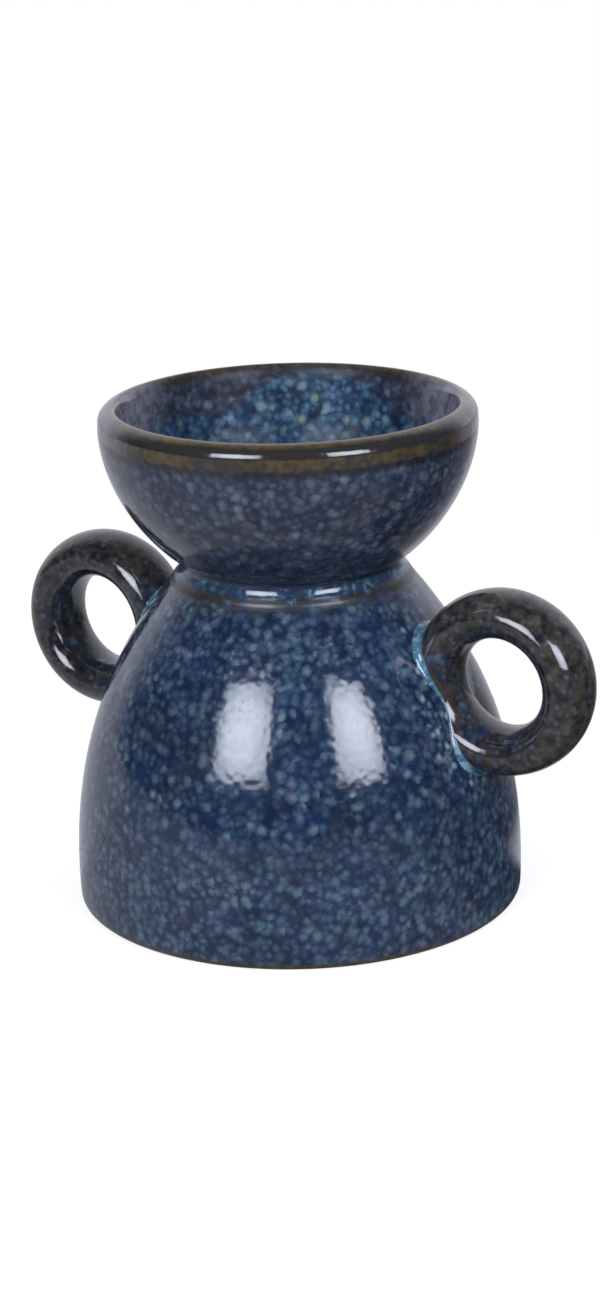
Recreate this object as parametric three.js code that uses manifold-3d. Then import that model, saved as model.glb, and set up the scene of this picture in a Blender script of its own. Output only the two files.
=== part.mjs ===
// Wax melt burner in glazed stoneware: a hollow dome that holds a tealight, a melting bowl on its neck
// and a ring handle on either side. Millimetres, +Z up. The origin is the middle of the foot, on the
// surface that the burner stands on. The handles stand along X, and the tealight doorway faces +Y.

import * as THREE from "three";
import { mergeVertices } from "three/addons/utils/BufferGeometryUtils.js";
import Module from "manifold-3d";

const wasm = await Module();
wasm.setup();

// Dome: its outside leaves the foot nearly upright and comes in to the neck along a straight shoulder
const FOOT_RADIUS = 52;
const FOOT_ROUND = 1.5;
const FOOT_RING_WIDTH = 6;
const FOOT_RECESS = 1.5;
const FLOOR_THICKNESS = 4.5;
const FLOOR_COVE = 4;
const DOME_WALL = 5;
const NECK_RADIUS = 24.5;
const NECK_HEIGHT = 80.4;
const BELLY_LEAN = 1.9;
const BELLY_RISE = 42.2;
const SHOULDER_ANGLE = 50.3;
const SHOULDER_LENGTH = 18;

// Doorway: a round-headed arch in the rear wall, with its sill level with the floor
const DOOR_WIDTH = 50;
const DOOR_HEIGHT = 44;

// Bowl: flares from the neck and stands upright at its lip, which is as round as the wall is thick
const TOTAL_HEIGHT = 116.9;
const BOWL_RADIUS = 43;
const BOWL_WALL = 4.2;
const BOWL_FLOOR = 4.5;
const BOWL_COVE = 2.5;
const BOWL_FLARE_ANGLE = 31.4;
const BOWL_FLARE_LENGTH = 10.5;
const BOWL_RIM_LEAN = 1.1;
const BOWL_RIM_LENGTH = 14.9;

// Handles: upright rings of oval section, pressed onto the dome and swept a little to the rear
const RING_RADIUS = 16;
const RING_THICKNESS = 10.9;
const RING_WIDTH = 16.2;
const RING_HEIGHT = 57.8;
const RING_STANDOFF = 13.7;
const RING_SWEEP = 2.3;

// Slip: the collar in the neck's crease and the bead round each handle's root
const COLLAR_CLIMB = 2.4;
const COLLAR_DROP = 4.8;
const COLLAR_FADE = 1.4;
const COLLAR_RIDGE = 0.7;
const COLLAR_BITE = 0.6;
const SEAM_SIZE = 1.3;

// Tealight
const CUP_RADIUS = 19;
const CUP_HEIGHT = 15.5;
const CUP_SKIN = 0.5;
const CUP_CORNER = 1;
const CUP_BEAD = 0.7;
const WAX_DEPTH = 12.5;
const WAX_ROUND = 0.8;
const SUSTAINER_RADIUS = 7;
const SUSTAINER_SKIN = 0.5;
const SUSTAINER_NECK = 4;
const WICK_RADIUS = 0.9;
const WICK_STAND = 9;
const WICK_LEAN = 2.2;

// Clearance between pieces that seat on each other
const JOINT_GAP = 0.3;

// Fineness of the facets
const TURN_SEGMENTS = 48;
const TEALIGHT_SEGMENTS = 36;
const SUSTAINER_SEGMENTS = 20;
const CURVE_STEPS = 12;
const ARC_STEPS = 6;
const COVE_STEPS = 4;
const RING_SEGMENTS = 40;
const RING_SECTION_SIDES = 14;
const WICK_SIDES = 8;
const WICK_STEPS = 8;
const WELD_DISTANCE = 1e-4;

// Heights and radii that follow from the driving dimensions
const floorTop = FOOT_RECESS + FLOOR_THICKNESS;
const footFlat = FOOT_RADIUS - FOOT_ROUND;
const lipRadius = BOWL_WALL / 2;
const lipHeight = TOTAL_HEIGHT - lipRadius;
const bowlFloorTop = NECK_HEIGHT + BOWL_FLOOR;
const cupInside = CUP_RADIUS - CUP_SKIN;
const waxTop = CUP_SKIN + WAX_DEPTH;
const sustainerTop = CUP_SKIN + SUSTAINER_SKIN;
const sustainerNeckTop = sustainerTop + SUSTAINER_NECK;
const wickBore = WICK_RADIUS + JOINT_GAP;
const sustainerNeckRadius = wickBore + SUSTAINER_SKIN;

const point = (radius, height) => new THREE.Vector2(radius, height);

// A point that lies a length away from another, up the slope of an angle in degrees
function along(from, length, degrees) {
  const angle = THREE.MathUtils.degToRad(degrees);
  return point(from.x + length * Math.cos(angle), from.y + length * Math.sin(angle));
}

// Outside profiles of the dome and the bowl, which meet in the crease of the neck
const crease = point(NECK_RADIUS, NECK_HEIGHT);
const domeCurve = new THREE.CubicBezierCurve(
  point(FOOT_RADIUS, FOOT_ROUND),
  point(FOOT_RADIUS + BELLY_LEAN, FOOT_ROUND + BELLY_RISE),
  along(crease, SHOULDER_LENGTH, -SHOULDER_ANGLE),
  crease,
);
const bowlCurve = new THREE.CubicBezierCurve(
  crease,
  along(crease, BOWL_FLARE_LENGTH, BOWL_FLARE_ANGLE),
  point(BOWL_RADIUS + BOWL_RIM_LEAN, lipHeight - BOWL_RIM_LENGTH),
  point(BOWL_RADIUS, lipHeight),
);

// One point of a rising profile, a length along it, moved out from the wall by a distance
function offsetPoint(curve, length, distance) {
  const share = length / curve.getLength();
  const place = curve.getPointAt(share);
  const tangent = curve.getTangentAt(share);
  return point(place.x + distance * tangent.y, place.y - distance * tangent.x);
}

// A whole rising profile moved out from its wall by a distance, or in where the distance is negative
function offsetCurve(curve, distance) {
  const step = curve.getLength() / CURVE_STEPS;
  return Array.from({ length: CURVE_STEPS + 1 }, (_, i) => offsetPoint(curve, i * step, distance));
}

// Part of a circle from one angle to another, in degrees
function arc(centre, radius, from, to, steps = ARC_STEPS) {
  const [start, end] = [from, to].map(THREE.MathUtils.degToRad);
  return new THREE.EllipseCurve(centre.x, centre.y, radius, radius, start, end, to < from).getPoints(steps);
}

// How far the outside of a profile is from the axis at a height
function radiusAt(curve, height) {
  const outline = offsetCurve(curve, 0);
  const above = outline.findIndex((place) => place.y >= height);
  const [low, high] = [outline[above - 1], outline[above]];
  return THREE.MathUtils.mapLinear(height, low.y, high.y, low.x, high.x);
}

// Solids

const turned = (profile, segments = TURN_SEGMENTS) =>
  new THREE.LatheGeometry(profile, segments).rotateX(Math.PI / 2);

function solidFrom(geometry) {
  const bare = geometry.clone();
  bare.deleteAttribute("normal");
  bare.deleteAttribute("uv");
  const welded = mergeVertices(bare, WELD_DISTANCE);
  const corners = welded.index.array;
  const triangles = [];
  for (let i = 0; i < corners.length; i += 3) {
    const triangle = Array.from(corners.slice(i, i + 3));
    if (new Set(triangle).size === triangle.length) triangles.push(...triangle);
  }
  const vertProperties = new Float32Array(welded.attributes.position.array);
  const triVerts = new Uint32Array(triangles);
  return new wasm.Manifold(new wasm.Mesh({ numProp: 3, vertProperties, triVerts }));
}

function geometryFrom(solid) {
  const { vertProperties, triVerts } = solid.getMesh();
  const geometry = new THREE.BufferGeometry();
  geometry.setAttribute("position", new THREE.BufferAttribute(vertProperties, 3));
  geometry.setIndex(new THREE.BufferAttribute(triVerts, 1));
  geometry.computeVertexNormals();
  return geometry;
}

// Everything inside a rising profile that stands off the wall by a gap, used to cut what sits on the wall
function filled(curve, gap) {
  const outline = offsetCurve(curve, gap);
  const bottom = point(0, outline[0].y);
  const top = point(0, outline.at(-1).y);
  return solidFrom(turned([bottom, ...outline, top]));
}

// Dome

function domeProfile() {
  const inner = offsetCurve(domeCurve, -DOME_WALL).reverse();
  const throat = point(inner[0].x, NECK_HEIGHT);
  const wall = inner.filter((place) => place.y > floorTop + FLOOR_COVE);
  const coveCentre = point(wall.at(-1).x - FLOOR_COVE, floorTop + FLOOR_COVE);
  return [
    point(0, FOOT_RECESS),
    point(footFlat - FOOT_RING_WIDTH, FOOT_RECESS),
    point(footFlat - FOOT_RING_WIDTH, 0),
    ...arc(point(footFlat, FOOT_ROUND), FOOT_ROUND, -90, 0, COVE_STEPS).slice(0, -1),
    ...offsetCurve(domeCurve, 0),
    throat,
    ...wall,
    ...arc(coveCentre, FLOOR_COVE, 0, -90, COVE_STEPS),
    point(0, floorTop),
  ];
}

function doorway() {
  const reach = FOOT_RADIUS + BELLY_LEAN;
  const spring = floorTop + DOOR_HEIGHT - DOOR_WIDTH / 2;
  const outline = new THREE.Shape();
  outline.moveTo(-DOOR_WIDTH / 2, floorTop);
  outline.lineTo(DOOR_WIDTH / 2, floorTop);
  outline.lineTo(DOOR_WIDTH / 2, spring);
  outline.absarc(0, spring, DOOR_WIDTH / 2, 0, Math.PI, false);
  const options = { depth: reach, bevelEnabled: false, curveSegments: CURVE_STEPS };
  return new THREE.ExtrudeGeometry(outline, options).rotateX(Math.PI / 2).translate(0, reach, 0);
}

const domeBody = () => geometryFrom(solidFrom(turned(domeProfile())).subtract(solidFrom(doorway())));

// Bowl

function meltBowl() {
  const wall = offsetCurve(bowlCurve, -BOWL_WALL)
    .reverse()
    .slice(1)
    .filter((place) => place.y > bowlFloorTop + BOWL_COVE);
  const [before, last] = wall.slice(-2);
  const slope = (before.x - last.x) / (before.y - last.y);
  const corner = point(last.x - slope * (last.y - bowlFloorTop), bowlFloorTop);
  const floorEdge = point(corner.x - corner.distanceTo(last), bowlFloorTop);
  const cove = new THREE.QuadraticBezierCurve(last, corner, floorEdge);
  return turned([
    point(0, NECK_HEIGHT),
    ...offsetCurve(bowlCurve, 0),
    ...arc(point(BOWL_RADIUS - lipRadius, lipHeight), lipRadius, 0, 180).slice(1),
    ...wall,
    ...cove.getPoints(COVE_STEPS).slice(1),
    point(0, bowlFloorTop),
  ]);
}

// Slip collar: concave from the bowl out to a low ridge on the dome, and bedded on both

function neckCollar() {
  const domeLength = domeCurve.getLength();
  const toe = offsetPoint(domeCurve, domeLength - COLLAR_DROP - COLLAR_FADE, -COLLAR_BITE);
  const foot = offsetPoint(domeCurve, domeLength - COLLAR_DROP - COLLAR_FADE, 0);
  const ridge = offsetPoint(domeCurve, domeLength - COLLAR_DROP, COLLAR_RIDGE);
  const hollow = offsetPoint(domeCurve, domeLength - COLLAR_CLIMB, COLLAR_RIDGE);
  const top = offsetPoint(bowlCurve, COLLAR_CLIMB, 0);
  const bedded = offsetPoint(bowlCurve, COLLAR_CLIMB, -COLLAR_BITE);
  const heart = point(NECK_RADIUS - COLLAR_BITE, NECK_HEIGHT);
  const sweep = new THREE.QuadraticBezierCurve(ridge, hollow, top).getPoints(ARC_STEPS);
  const blank = solidFrom(turned([toe, foot, ...sweep, bedded, heart, toe]));
  return geometryFrom(blank.subtract(filled(domeCurve, JOINT_GAP)).subtract(filled(bowlCurve, JOINT_GAP)));
}

// Handles, each built on the +X side of the dome and then turned to its place

function ring(swell) {
  const thickness = RING_THICKNESS / 2 + swell;
  const width = RING_WIDTH / 2 + swell;
  const reach = radiusAt(domeCurve, RING_HEIGHT) + RING_STANDOFF;
  return solidFrom(
    new THREE.TorusGeometry(RING_RADIUS, thickness, RING_SECTION_SIDES, RING_SEGMENTS)
      .scale(1, 1, width / thickness)
      .rotateX(Math.PI / 2)
      .translate(reach, 0, RING_HEIGHT),
  );
}

const handle = () => geometryFrom(ring(0).subtract(filled(domeCurve, JOINT_GAP)));

function slipSeam() {
  const outside = JOINT_GAP + SEAM_SIZE;
  const bead = ring(outside).intersect(filled(domeCurve, outside));
  return geometryFrom(bead.subtract(ring(JOINT_GAP)).subtract(filled(domeCurve, JOINT_GAP)));
}

// Tealight, with the underside of its cup at height zero

function tealightCup() {
  const bead = point(CUP_RADIUS, CUP_HEIGHT - CUP_BEAD);
  const corner = point(CUP_RADIUS - CUP_CORNER, CUP_CORNER);
  return turned(
    [
      point(0, 0),
      ...arc(corner, CUP_CORNER, -90, 0, COVE_STEPS),
      ...arc(bead, CUP_BEAD, -90, 90),
      point(cupInside, CUP_HEIGHT),
      point(cupInside, CUP_SKIN),
      point(0, CUP_SKIN),
    ],
    TEALIGHT_SEGMENTS,
  );
}

function tealightWax() {
  const edge = cupInside - JOINT_GAP;
  const pocket = SUSTAINER_RADIUS + JOINT_GAP;
  const bore = sustainerNeckRadius + JOINT_GAP;
  return turned(
    [
      point(pocket, CUP_SKIN),
      point(edge, CUP_SKIN),
      ...arc(point(edge - WAX_ROUND, waxTop - WAX_ROUND), WAX_ROUND, 0, 90, COVE_STEPS),
      point(wickBore, waxTop),
      point(wickBore, sustainerNeckTop + JOINT_GAP),
      point(bore, sustainerNeckTop + JOINT_GAP),
      point(bore, sustainerTop + JOINT_GAP),
      point(pocket, sustainerTop + JOINT_GAP),
      point(pocket, CUP_SKIN),
    ],
    TEALIGHT_SEGMENTS,
  );
}

function wickSustainer() {
  return turned(
    [
      point(wickBore, CUP_SKIN),
      point(SUSTAINER_RADIUS, CUP_SKIN),
      point(SUSTAINER_RADIUS, sustainerTop),
      point(sustainerNeckRadius, sustainerTop),
      point(sustainerNeckRadius, sustainerNeckTop),
      point(wickBore, sustainerNeckTop),
      point(wickBore, CUP_SKIN),
    ],
    SUSTAINER_SEGMENTS,
  );
}

function wick() {
  const at = (y, z) => new THREE.Vector3(0, y, z);
  const bend = waxTop + WICK_STAND / 3;
  const tip = at(WICK_LEAN, waxTop + WICK_STAND);
  const route = new THREE.CurvePath();
  route.add(new THREE.LineCurve3(at(0, CUP_SKIN), at(0, bend)));
  route.add(new THREE.QuadraticBezierCurve3(at(0, bend), at(0, waxTop + (2 * WICK_STAND) / 3), tip));
  const section = new THREE.Shape();
  section.absarc(0, 0, WICK_RADIUS, 0, 2 * Math.PI, false);
  const options = { steps: WICK_STEPS, extrudePath: route, curveSegments: WICK_SIDES / 2 };
  return new THREE.ExtrudeGeometry(section, options);
}

// Assembly

const glaze = (color) => new THREE.MeshStandardMaterial({ color, roughness: 0.15, metalness: 0 });
const GLAZE_NAVY = "#1b2233";
const GLAZE_SLATE = "#39424d";
const GLAZE_BROWN = "#3a3024";
const GLAZE_POOLED = "#3f76b8";

function piece(name, geometry, material) {
  const mesh = new THREE.Mesh(geometry, material);
  mesh.name = name;
  return mesh;
}

function side(name, turn) {
  const group = new THREE.Group();
  group.add(piece(`${name}_handle`, handle(), glaze(GLAZE_BROWN)));
  group.add(piece(`${name}_slip_seam`, slipSeam(), glaze(GLAZE_POOLED)));
  group.rotation.z = THREE.MathUtils.degToRad(turn);
  return group;
}

function tealight() {
  const foil = new THREE.MeshStandardMaterial({ color: "#c9ccd0", roughness: 0.3, metalness: 1 });
  const tin = new THREE.MeshStandardMaterial({ color: "#a8abb0", roughness: 0.4, metalness: 1 });
  const wax = new THREE.MeshStandardMaterial({ color: "#f1ece0", roughness: 0.5, metalness: 0 });
  const cotton = new THREE.MeshStandardMaterial({ color: "#e9e2d0", roughness: 0.9, metalness: 0 });
  const group = new THREE.Group();
  group.add(piece("tealight_cup", tealightCup(), foil));
  group.add(piece("tealight_wax", tealightWax(), wax));
  group.add(piece("wick_sustainer", wickSustainer(), tin));
  group.add(piece("wick", wick(), cotton));
  group.position.z = floorTop;
  return group;
}

const burner = new THREE.Group();
burner.add(piece("dome_body", domeBody(), glaze(GLAZE_NAVY)));
burner.add(piece("melt_bowl", meltBowl(), glaze(GLAZE_SLATE)));
burner.add(piece("neck_slip_collar", neckCollar(), glaze(GLAZE_POOLED)));
burner.add(side("right", RING_SWEEP));
burner.add(side("left", 180 - RING_SWEEP));
burner.add(tealight());

export default burner;
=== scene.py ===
"""Wax melt burner in speckled blue stoneware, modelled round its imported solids. Metres, +Z up."""

import math

import bpy
from mathutils import Matrix, Vector


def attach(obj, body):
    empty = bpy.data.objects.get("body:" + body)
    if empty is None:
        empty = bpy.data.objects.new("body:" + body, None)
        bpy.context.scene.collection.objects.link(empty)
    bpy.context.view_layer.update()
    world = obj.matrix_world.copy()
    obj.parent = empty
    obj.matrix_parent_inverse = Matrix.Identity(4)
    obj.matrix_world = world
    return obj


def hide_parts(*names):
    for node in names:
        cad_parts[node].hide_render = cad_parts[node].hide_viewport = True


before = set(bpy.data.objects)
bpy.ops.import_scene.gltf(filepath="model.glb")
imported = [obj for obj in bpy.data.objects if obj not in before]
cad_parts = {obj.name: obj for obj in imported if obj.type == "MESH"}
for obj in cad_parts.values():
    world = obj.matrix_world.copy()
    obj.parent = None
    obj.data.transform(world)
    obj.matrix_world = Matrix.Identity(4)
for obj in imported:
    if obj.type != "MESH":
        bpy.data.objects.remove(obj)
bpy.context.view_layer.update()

MM = 0.001

# Dome, with the same driving sizes as its solid
FOOT_RADIUS = 52 * MM
FOOT_ROUND = 1.5 * MM
FOOT_RING_WIDTH = 6 * MM
FOOT_RING_EDGE = 0.6 * MM
FOOT_RECESS = 1.5 * MM
FLOOR_THICKNESS = 4.5 * MM
FLOOR_COVE = 4 * MM
DOME_WALL = 5 * MM
NECK_RADIUS = 24.5 * MM
NECK_HEIGHT = 80.4 * MM
BELLY_LEAN = 1.9 * MM
BELLY_RISE = 42.2 * MM
SHOULDER_ANGLE = 50.3
SHOULDER_LENGTH = 18 * MM

# Doorway in the rear wall
DOOR_WIDTH = 50 * MM
DOOR_HEIGHT = 44 * MM
DOOR_EDGE = 1.3 * MM
DOOR_FADE = 20 * MM

# Bowl
TOTAL_HEIGHT = 116.9 * MM
BOWL_RADIUS = 43 * MM
BOWL_WALL = 4.2 * MM
BOWL_FLOOR = 4.5 * MM
BOWL_COVE = 2.5 * MM
BOWL_FLARE_ANGLE = 31.4
BOWL_FLARE_LENGTH = 10.5 * MM
BOWL_RIM_LEAN = 1.1 * MM
BOWL_RIM_LENGTH = 14.9 * MM
BOWL_LIP_ROUND = 3.3 * MM
BOWL_LIP_EASE = 7 * MM
BOWL_LIP_WALL = 5.4 * MM
BOWL_SWELL_LOW = 97 * MM
BOWL_SWELL_HIGH = 108 * MM

# Ring handles and the slip that beds them
RING_RADIUS = 16 * MM
RING_THICKNESS = 10.9 * MM
RING_WIDTH = 16.2 * MM
RING_HEIGHT = 57.8 * MM
RING_STANDOFF = 13.66 * MM
RING_SWEEP = 2.3
RING_BEDDING = 0.6 * MM
BEAD_RADIUS = 1.5 * MM
BEAD_SWELL = 0.2
BEAD_WAVES = 2
BEAD_RIPPLES = 5
BEAD_PHASE = 0.6
BEAD_DEPTH = 0.4 * MM
BEAD_LAP = 0.12 * MM

# Slip collar in the crease of the neck
COLLAR_CLIMB = 1.4 * MM
COLLAR_DROP = 4.2 * MM
COLLAR_FADE = 1.6 * MM
COLLAR_RIDGE = 0.22 * MM
COLLAR_BITE = 0.6 * MM

# Tealight
CUP_RADIUS = 19 * MM
CUP_HEIGHT = 15.5 * MM
CUP_SKIN = 0.5 * MM
CUP_CORNER = 1 * MM
CUP_BOTTOM_SHARE = 0.6
CUP_BEAD = 0.7 * MM
CUP_BEAD_START = -80
CUP_FLUTES = 48
CUP_FLUTE_DEPTH = 0.28 * MM
WAX_DEPTH = 12.5 * MM
WAX_GAP = 0.3 * MM
WAX_RISE = 0.7 * MM
WAX_CREEP = 0.2 * MM
WAX_SLOPE = 3 * MM
WICK_MOUND = 4 * MM
WICK_MOUND_FOOT = 2 * MM
WICK_RADIUS = 0.9 * MM
WICK_STAND = 9 * MM
WICK_LEAN = 2.2 * MM
WICK_CURL = 1.6
WICK_STRANDS = 3
WICK_LOBE = 0.22
WICK_TWIST = 38
SUSTAINER_RADIUS = 7 * MM
SUSTAINER_HEIGHT = 4.5 * MM
SUSTAINER_NECK = 1.7 * MM

# Fineness of the meshes
TURN_SIDES = 144
FOOT_STEPS = 5
FOOT_EDGE_STEPS = 4
SKIRT_STEPS = 2
SHOULDER_STEPS = 16
CHAMBER_STEPS = 14
DOOR_COLUMNS = 12
DOOR_ROWS = 22
DOOR_EDGE_STEPS = 4
COVE_STEPS = 6
LIP_STEPS = 16
WALL_STEPS = 30
COLLAR_TOE_STEPS = 4
COLLAR_STEPS = 12
RING_SEGMENTS = 128
RING_SECTION_SIDES = 48
BEAD_STEPS = 144
BEAD_SECTION = 8
CUP_SIDES = 192
CUP_CORNER_STEPS = 6
CUP_WALL_STEPS = 8
CUP_BEAD_STEPS = 14
WAX_STEPS = 8
WICK_SIDES = 8
WICK_STEPS = 30
HALVINGS = 40
WELD = 1e-6
SMOOTH_ANGLE = math.radians(40)

# Places that follow from the sizes
FLOOR_TOP = FOOT_RECESS + FLOOR_THICKNESS
FOOT_FLAT = FOOT_RADIUS - FOOT_ROUND
DOOR_HALF = DOOR_WIDTH / 2
DOOR_HEAD = FLOOR_TOP + DOOR_HEIGHT
DOOR_SPRING = DOOR_HEAD - DOOR_HALF
DOOR_SPREAD = math.tau * DOOR_COLUMNS / TURN_SIDES
LIP_HEIGHT = TOTAL_HEIGHT - BOWL_WALL / 2
LIP_CLEAR = BOWL_LIP_ROUND / 4
BOWL_FLOOR_TOP = NECK_HEIGHT + BOWL_FLOOR
WAX_TOP = CUP_SKIN + WAX_DEPTH


def point(radius, height):
    return Vector((radius, height))


def along(start, length, degrees):
    """A point that lies a length away from another, up the slope of an angle."""
    angle = math.radians(degrees)
    return start + length * point(math.cos(angle), math.sin(angle))


# Outside profiles, each a cubic curve given by its four corners
CREASE = point(NECK_RADIUS, NECK_HEIGHT)
DOME_CURVE = (
    point(FOOT_RADIUS, FOOT_ROUND),
    point(FOOT_RADIUS + BELLY_LEAN, FOOT_ROUND + BELLY_RISE),
    along(CREASE, SHOULDER_LENGTH, -SHOULDER_ANGLE),
    CREASE,
)
BOWL_CURVE = (
    CREASE,
    along(CREASE, BOWL_FLARE_LENGTH, BOWL_FLARE_ANGLE),
    point(BOWL_RADIUS + BOWL_RIM_LEAN, LIP_HEIGHT - BOWL_RIM_LENGTH),
    point(BOWL_RADIUS, LIP_HEIGHT),
)


def wall_at_share(curve, share, inset=0.0):
    """A point of a rising profile set in from its outside, and the outward normal there."""
    a, b, c, d = curve
    rest = 1 - share
    place = a * rest**3 + 3 * b * share * rest**2 + 3 * c * share**2 * rest + d * share**3
    slope = (b - a) * rest**2 + 2 * (c - b) * share * rest + (d - c) * share**2
    normal = point(slope.y, -slope.x).normalized()
    return place - inset * normal, normal


def halved(low, high, falls_short):
    """The value between two where a test stops holding, found by halving."""
    for _ in range(HALVINGS):
        middle = (low + high) / 2
        if falls_short(middle):
            low = middle
        else:
            high = middle
    return low


def wall_at_height(curve, height, inset=0.0):
    share = halved(0, 1, lambda s: wall_at_share(curve, s, inset)[0].y < height)
    return wall_at_share(curve, share, inset)


def wall_radius(curve, height, inset=0.0):
    return wall_at_height(curve, height, inset)[0].x


def near_crease(curve, length, proud):
    """A point that stands proud of a profile, a length away from the crease of the neck."""
    leaves_crease = curve is BOWL_CURVE
    share = halved(0, 1, lambda s: ((wall_at_share(curve, s)[0] - CREASE).length < length) == leaves_crease)
    return wall_at_share(curve, share, -proud)[0]


def shares(steps):
    """Even shares from 0 to 1."""
    return [i / steps for i in range(steps + 1)]


def arc(centre, radius, start, end, steps):
    """Points of a circle from one angle in degrees to another."""
    return [along(centre, radius, start + (end - start) * share) for share in shares(steps)]


def sweep(start, middle, end, steps):
    """Points of a curve that leaves its start and reaches its end in line with a middle point."""
    return [start * (1 - s) ** 2 + 2 * middle * s * (1 - s) + end * s**2 for s in shares(steps)]


def spaced(start, end, steps):
    """Even steps from one value to another, without the first."""
    return [start + (end - start) * share for share in shares(steps)[1:]]


def smooth_step(low, high, value):
    share = min(max((value - low) / (high - low), 0.0), 1.0)
    return share * share * (3 - 2 * share)


# Modelling steps

def enter(mode):
    bpy.ops.object.mode_set(mode=mode)


def take_up(piece):
    """Makes a piece the one that the next step works on."""
    bpy.ops.object.select_all(action="DESELECT")
    piece.select_set(True)
    bpy.context.view_layer.objects.active = piece


def apply_place(piece):
    take_up(piece)
    bpy.ops.object.transform_apply(location=True, rotation=True, scale=True)


def close_up(piece):
    """Merges doubles, turns the faces outwards and smooths all but sharp edges."""
    take_up(piece)
    enter("EDIT")
    bpy.ops.mesh.select_all(action="SELECT")
    bpy.ops.mesh.remove_doubles(threshold=WELD)
    bpy.ops.mesh.normals_make_consistent(inside=False)
    enter("OBJECT")
    bpy.ops.object.shade_smooth_by_angle(angle=SMOOTH_ANGLE)


def turned(name, outline, sides=TURN_SIDES):
    """Draws an outline point by point and spins it round the Z axis, as on a wheel."""
    bpy.ops.mesh.primitive_plane_add(size=MM, location=(outline[0].x, 0, outline[0].y))
    piece = bpy.context.object
    piece.name = name
    enter("EDIT")
    bpy.ops.mesh.select_mode(type="VERT")
    bpy.ops.mesh.select_all(action="SELECT")
    bpy.ops.mesh.merge(type="CENTER")
    for here, there in zip(outline, outline[1:]):
        step = there - here
        bpy.ops.mesh.extrude_vertices_move(TRANSFORM_OT_translate={"value": (step.x, 0, step.y)})
    bpy.ops.mesh.select_all(action="SELECT")
    bpy.ops.mesh.spin(steps=sides, angle=math.tau, center=(0, 0, 0), axis=(0, 0, 1))
    enter("OBJECT")
    apply_place(piece)
    close_up(piece)
    return piece


def paint(piece, name, rule):
    """Keeps a value for each vertex of a piece, which its finish reads."""
    values = piece.data.attributes.new(name, "FLOAT", "POINT").data
    for vertex, value in zip(piece.data.vertices, values):
        value.value = rule(vertex)


def mirrored(piece, name):
    """A copy of a piece on the other side of the dome."""
    take_up(piece)
    bpy.ops.object.duplicate()
    copy = bpy.context.object
    copy.name = name
    copy.scale.x = -1
    apply_place(copy)
    close_up(copy)
    return copy


# Dome

COVE_EDGE = wall_radius(DOME_CURVE, FLOOR_TOP + FLOOR_COVE, DOME_WALL) - FLOOR_COVE


def chamber_radius(height):
    """How far the inside of the dome is from the axis at a height, with the cove round its floor."""
    rise = FLOOR_TOP + FLOOR_COVE - height
    if rise > 0:
        return COVE_EDGE + math.sqrt(max(FLOOR_COVE**2 - rise**2, 0.0))
    return wall_radius(DOME_CURVE, height, DOME_WALL)


def dome_outline():
    ring_inside = FOOT_FLAT - FOOT_RING_WIDTH
    throat, _ = wall_at_share(DOME_CURVE, 1, DOME_WALL)
    rise = [FOOT_ROUND]
    rise += spaced(FOOT_ROUND, FLOOR_TOP, SKIRT_STEPS)
    rise += spaced(FLOOR_TOP, DOOR_HEAD, DOOR_ROWS)
    rise += spaced(DOOR_HEAD, NECK_HEIGHT, SHOULDER_STEPS)
    fall = spaced(throat.y, DOOR_HEAD, CHAMBER_STEPS)
    fall += spaced(DOOR_HEAD, FLOOR_TOP + FLOOR_COVE, DOOR_ROWS - COVE_STEPS)
    cove = arc(point(COVE_EDGE, FLOOR_TOP + FLOOR_COVE), FLOOR_COVE, 0, -90, COVE_STEPS)
    edge_middle = point(ring_inside + FOOT_RING_EDGE, FOOT_RING_EDGE)
    edge = arc(edge_middle, FOOT_RING_EDGE, 180, 270, FOOT_EDGE_STEPS)
    foot = arc(point(FOOT_FLAT, FOOT_ROUND), FOOT_ROUND, -90, 0, FOOT_STEPS)
    return [
        point(0, FOOT_RECESS),
        point(ring_inside / 2, FOOT_RECESS),
        point(ring_inside, FOOT_RECESS),
        *edge,
        *foot[:-1],
        *[point(wall_radius(DOME_CURVE, height), height) for height in rise],
        point(throat.x, NECK_HEIGHT),
        throat,
        *[point(chamber_radius(height), height) for height in fall],
        *cove[1:],
        point(COVE_EDGE / 2, FLOOR_TOP),
        point(0, FLOOR_TOP),
    ]


def on_outer_wall(place):
    return math.hypot(place.x, place.y) > wall_radius(DOME_CURVE, place.z, DOME_WALL / 2)


def in_doorway(place):
    """True for the middle of a wall face that the doorway takes out, before the arch is drawn."""
    facing = abs(math.atan2(place.x, place.y)) < DOOR_SPREAD
    return facing and FLOOR_TOP + WELD < place.z < DOOR_HEAD


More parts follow.
